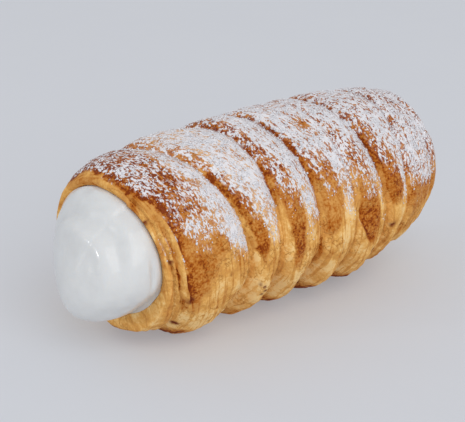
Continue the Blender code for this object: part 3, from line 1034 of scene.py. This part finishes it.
# %% [markdown]
# ### Dough and crust
#
# One number says how far each spot is baked, and a ramp turns it into a colour, from pale golden
# to nearly black. It rises with the egg mask, in the grooves, on the cut faces and near the tray,
# and with fine leaf lines and crackle on the plain dough. Near the tray and in the tucked folds part
# of that darkening is painted shade, and the paler dough low on the sides is partly painted light.
# Patterns that run with the strip would pinch together at the tip, so there they go over into even
# ones.

# %% Patterns in the dough
dough, tree, shader, spot = new_material("baked_dough", (0.62, 0.30, 0.08, 1), Specular_IOR_Level=0.10)
TIP_PATTERN = (SHELL_HIGH.x - 16 * MM, SHELL_HIGH.x - 7 * MM)
# noises: how many to a metre, detail and roughness
PATCHES, BLOTCHES, SPECKS, VEINS = (175, 4, 0.6), (560, 3, 0.6), (1500, 2, 0.6), (210, 3, 0.65)
VEIN_WIDTH, CRACKLED = 0.026, (0.42, 0.58)
# woven noises: scale across and along the strip, how many to a metre at the tip, detail
LEAVES, POWDER, DRIFT = ((1.15, 0.045, 1), 240, 3), ((1.6, 0.85, 1), 1250, 2), ((0.75, 0.36, 1), 600, 2)


def mask_of(name, output="Fac"):
    """A mask that is stored on the vertices."""
    node = tree.nodes.new("ShaderNodeAttribute")
    node.attribute_name = name
    return node.outputs[output]


def centred(value, amount):
    """A noise value turned into plus or minus an amount about nothing."""
    return times(minus(value, 0.5), amount)


def woven(with_strip, at_a_tip, detail):
    """A noise that runs with the strip, and is the same in every direction at the tip."""
    stretched = node_with("Mapping", Vector=strip, Scale=with_strip).outputs["Vector"]
    wound_noise = noise(stretched, 1, detail, 0.6)
    return blend(at_tip, wound_noise, noise(spot, at_a_tip, detail, 0.6), "FLOAT")


strip = mask_of("strip", "Vector")
egg_mask, groove_mask, cut_mask = mask_of("egg"), mask_of("groove"), mask_of("cut")
burnt_and_pore_shade_mask, dust_mask, tray_brown_and_shade_mask = mask_of("burnt_and_pore_shade"), mask_of("dust"), mask_of("tray_brown_and_shade")
apart = node_with("SeparateXYZ", Vector=spot)
at_tip = steps(apart.outputs["X"], *TIP_PATTERN)
leaf_noise = woven(*LEAVES)
leaf_lines = steps(leaf_noise, 0.50, 0.62)
plain = minus(1, egg_mask)
patches, blotches, specks = (noise(spot, *sizes) for sizes in (PATCHES, BLOTCHES, SPECKS))
veins = maths("ABSOLUTE", centred(noise(spot, *VEINS), 1), 0)  # the 0 stands for the unused second value
crackle = times(minus(1, steps(veins, 0, VEIN_WIDTH)), steps(noise(spot, 120, 1), *CRACKLED),
                minus(1, cut_mask))
print("the dough's patterns use", len(tree.nodes), "nodes")

# %% How far it is baked, and the colour of that
BAKE_STEPS = ((0, (0.96, 0.64, 0.27)), (0.16, (0.87, 0.49, 0.15)), (0.34, (0.74, 0.365, 0.085)),
              (0.50, (0.66, 0.31, 0.080)), (0.64, (0.58, 0.235, 0.045)), (0.78, (0.50, 0.165, 0.020)),
              (0.90, (0.40, 0.100, 0.006)), (1, (0.22, 0.036, 0.001)))
BURNT_AND_PORE_SHADE = (0.16, 0.018, 0.004, 1)
PLAIN_BAKE, EGG_BAKE = 0.18, 0.60
PATCHY, BLOTCHY, SPECKLED = 1.55, 0.7, 1.1
LEAF_BAKE, TRAY_AND_SHADE_BAKE, CRACKLE_BAKE, GROOVE_BAKE, CUT_BAKE = 0.30, 0.42, 0.28, 0.26, 0.27

broad = times(centred(patches, PATCHY), minus(1, times(egg_mask, 0.65)))
uneven = times(plus(centred(blotches, BLOTCHY), centred(specks, SPECKLED)), plus(0.45, times(egg_mask, 0.5)))
# the tray mask holds painted contact shade at the bottom edge and painted light low on the sides
bake = plus(PLAIN_BAKE, times(egg_mask, EGG_BAKE), broad, uneven,
            times(leaf_lines, plain, LEAF_BAKE), times(tray_brown_and_shade_mask, TRAY_AND_SHADE_BAKE),
            times(crackle, plain, CRACKLE_BAKE), times(groove_mask, GROOVE_BAKE),
            times(cut_mask, CUT_BAKE))
ramp = node_with("ValToRGB", Fac=bake)
shades = ramp.color_ramp.elements
shades[0].position, shades[1].position = BAKE_STEPS[0][0], BAKE_STEPS[-1][0]
for position, _ in BAKE_STEPS[1:-1]:
    shades.new(position)
for element, (position, shade) in zip(shades, BAKE_STEPS):
    element.position = position
    element.color = (*shade, 1)
# dark drips, and painted shade in the pores
colour = blend(burnt_and_pore_shade_mask, ramp.outputs["Color"], BURNT_AND_PORE_SHADE)
print("steps in the baking ramp", len(shades))

# %% [markdown]
# ### The film of sugar on the crust
#
# Between the beads the crust is whitened by a film too fine to model. Two sizes of noise break its
# edge into powder and drifts, over an even haze that is thinner on the glazed brown. The film is
# matt, where the glaze shines slightly. The finest crumb is bump, being smaller than the mesh.

# %% Film, shine and crumb
SUGAR_WHITE = (0.83, 0.825, 0.85, 1)
FULL_FILM, FILM_ROUGH, CRUST_ROUGH, EGG_GLOSS = 0.97, 0.95, 0.72, 0.26
FILM_EDGE, ANY_DUST, HAZE_DUST, THICK_DUST = (0.26, 0.66), (0.02, 0.25), (0, 0.75), (0.80, 1.10)
POWDERY, DRIFTED = 3.4, 2.2
HAZE, LESS_ON_EGG, MORE_IF_THICK = 0.36, 0.24, 0.25
CRUMB_BUMP, LEAF_BUMP, CRACKLE_BUMP, FILM_BUMP = 0.8, 1.3, 1.2, 0.45

cover = plus(dust_mask, centred(woven(*POWDER), POWDERY), centred(woven(*DRIFT), DRIFTED))
film = times(steps(cover, *FILM_EDGE), steps(dust_mask, *ANY_DUST))
haze = times(steps(dust_mask, *HAZE_DUST), minus(HAZE, times(egg_mask, LESS_ON_EGG)))
veil = plus(haze, times(steps(dust_mask, *THICK_DUST), MORE_IF_THICK))
film = plus(veil, times(film, minus(FULL_FILM, veil)))
wire(blend(film, colour, SUGAR_WHITE), shader.inputs["Base Color"])
gloss = minus(CRUST_ROUGH, times(egg_mask, EGG_GLOSS))
wire(blend(film, gloss, FILM_ROUGH, "FLOAT"), shader.inputs["Roughness"])

crumbs = place_group(GRAIN, At=spot, Size=0.9, Pits=0.5)
leaf_height = times(leaf_noise, minus(1.1, egg_mask))
height = plus(times(crumbs, CRUMB_BUMP), times(leaf_height, LEAF_BUMP))
height = plus(minus(height, times(crackle, CRACKLE_BUMP)), times(film, FILM_BUMP))
roughen(shader, height, 0.55, 0.0004)
shell.data.materials.append(dough)
print("the dough's material has", len(tree.nodes), "nodes")

# %% [markdown]
# ### Cream and sugar
#
# Meringue cream is nearly white, smooth and soft: a broad dull shine, a faint grain of tiny
# bubbles, and light that sinks in a little. Powdered sugar is whiter and quite matt.

# %% The cream's and the sugar's materials
CREAM_WHITE, CREAM_WARM = (0.72, 0.73, 0.725, 1), (0.69, 0.70, 0.695, 1)
whipped, tree, shader, spot = new_material(
    "whipped_cream", CREAM_WHITE, Roughness=0.29, Specular_IOR_Level=0.22, Coat_Weight=0.30,
    Coat_Roughness=0.10, Subsurface_Weight=0.25, Subsurface_Radius=(0.004, 0.0035, 0.003), Subsurface_Scale=1)
veil = place_group(MOTTLE, At=spot, Size=9, Fine=0.3, Low=0.4, High=0.65)
wire(blend(veil, CREAM_WHITE, CREAM_WARM), shader.inputs["Base Color"])
roughen(shader, place_group(GRAIN, At=spot, Size=2.2, Pits=0.35), 0.18, 0.0003)
cream.data.materials.append(whipped)

SUGAR_GREY = (0.66, 0.65, 0.68, 1)
powdered, tree, shader, spot = new_material("powdered_sugar", SUGAR_WHITE, Roughness=0.9)
shade = place_group(MOTTLE, At=spot, Size=1.5, Fine=0.5, Low=0.45, High=0.7)
wire(blend(shade, SUGAR_WHITE, SUGAR_GREY), shader.inputs["Base Color"])
roughen(shader, place_group(GRAIN, At=spot, Size=0.3, Pits=0.3), 0.3, 0.0001)
for sugar in (fine_sugar, coarse_sugar):
    sugar.data.materials.append(powdered)
print("materials", [material.name for material in bpy.data.materials])

# %% [markdown]
# ## On the table
#
# Each piece rides on the one body of the part. The shell and the cream stand for their CAD nodes,
# and the sugar lies on top of them.

# %% Joining the pieces to the frame
for piece, slot in ((shell, "pastry"), (cream, "cream"), (fine_sugar, "sugar"), (coarse_sugar, "sugar")):
    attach(piece, "root")
    print(piece.name, "rides on the root and has the slot", slot)
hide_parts("pastry")
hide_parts("cream")

# %% [markdown]
# ## Floor
#
# The horn lies on a pale matt sheet. The sheet glows a little as painted light, which keeps the
# shadows under the horn faint.

# %% The floor
FLOOR_SIZE = 3
plane = bmesh.new()
bmesh.ops.create_grid(plane, x_segments=4, y_segments=4, size=FLOOR_SIZE)
floor_data = bpy.data.meshes.new("floor")
plane.to_mesh(floor_data)
plane.free()
floor = hang("floor", floor_data)

PAPER, PAPER_SHADE = (0.415, 0.43, 0.465, 1), (0.41, 0.425, 0.46, 1)
# painted light: the floor glows though it is no lamp, so the shadows stay faint
PAINTED_FLOOR_GLOW, PAINTED_GLOW_COLOUR = 0.26, (0.97, 0.98, 1, 1)
paper, tree, shader, spot = new_material(
    "floor_paper", PAPER, Roughness=0.9, Specular_IOR_Level=0.1, Emission_Color=PAINTED_GLOW_COLOUR,
    Emission_Strength=PAINTED_FLOOR_GLOW)
tone = place_group(MOTTLE, At=spot, Size=60, Fine=0.3, Low=0.3, High=0.7)
wire(blend(tone, PAPER, PAPER_SHADE), shader.inputs["Base Color"])
floor.data.materials.append(paper)
print("the floor is", 2 * FLOOR_SIZE, "m wide")

# %% [markdown]
# ## Light
#
# A bright room lights the horn from all sides. One large soft lamp stands in front and shades the
# grooves, and a small one low on the left puts a glint on the cream.

# %% The room and the lamps
ROOM_LIGHT, ROOM_COLOUR = 0.61, (0.93, 0.95, 1, 1)
# name; azimuth, elevation and distance in metres; size in metres; watts; colour
LAMPS = (("front", (-14, 38, 2.5), 2, 29, (1, 0.985, 0.965)),
         ("glint", (-108, 12, 1.5), 0.10, 2.2, (1, 1, 1)))

world = bpy.data.worlds.new("studio")
bpy.context.scene.world = world
world.use_nodes = True
sky = world.node_tree.nodes["Background"]
sky.inputs["Color"].default_value = ROOM_COLOUR
sky.inputs["Strength"].default_value = ROOM_LIGHT


def toward_at(azimuth, elevation, distance):
    """A point seen from the middle of the floor; azimuth 0 is the -Y side."""
    round_by, up = math.radians(azimuth), math.radians(elevation)
    level = math.cos(up)
    return Vector((math.sin(round_by) * level, -math.cos(round_by) * level, math.sin(up))) * distance


def facing_back(direction):
    """The rotation of a lamp or camera that looks back along a direction."""
    return (-direction).to_track_quat("-Z", "Y").to_euler()


for name, position, size, power, light_colour in LAMPS:
    lamp = bpy.data.lights.new(name, "AREA")
    lamp.shape = "RECTANGLE"
    lamp.size = lamp.size_y = size
    lamp.energy = power
    lamp.color = light_colour
    holder = hang(name, lamp)
    holder.location = toward_at(*position)
    holder.rotation_euler = facing_back(holder.location)
    print("lamp", name, power, "W")

# %% [markdown]
# ## Camera
#
# The camera looks down on the mouth's side. Its long lens keeps the far end from looking small.

# %% The camera
CAMERA_FROM = (-38, 21.78)  # azimuth and elevation in degrees
CAMERA_DISTANCE, CAMERA_VIEW = 431.6 * MM, math.radians(18)
AIM_STATION, AIM_HEIGHT = 47, 29
toward = toward_at(*CAMERA_FROM, 1)
aim = Vector(((AIM_STATION + MOUTH_X) * MM, 0, AIM_HEIGHT * MM))
lens = bpy.data.cameras.new("camera")
lens.angle = CAMERA_VIEW
lens.clip_start = 0.01
camera = hang("camera", lens)
camera.location = aim + toward * CAMERA_DISTANCE
camera.rotation_euler = facing_back(toward)
bpy.context.scene.camera = camera
bpy.context.scene.view_settings.view_transform = "Standard"
print("camera at", [round(value, 3) for value in camera.location])
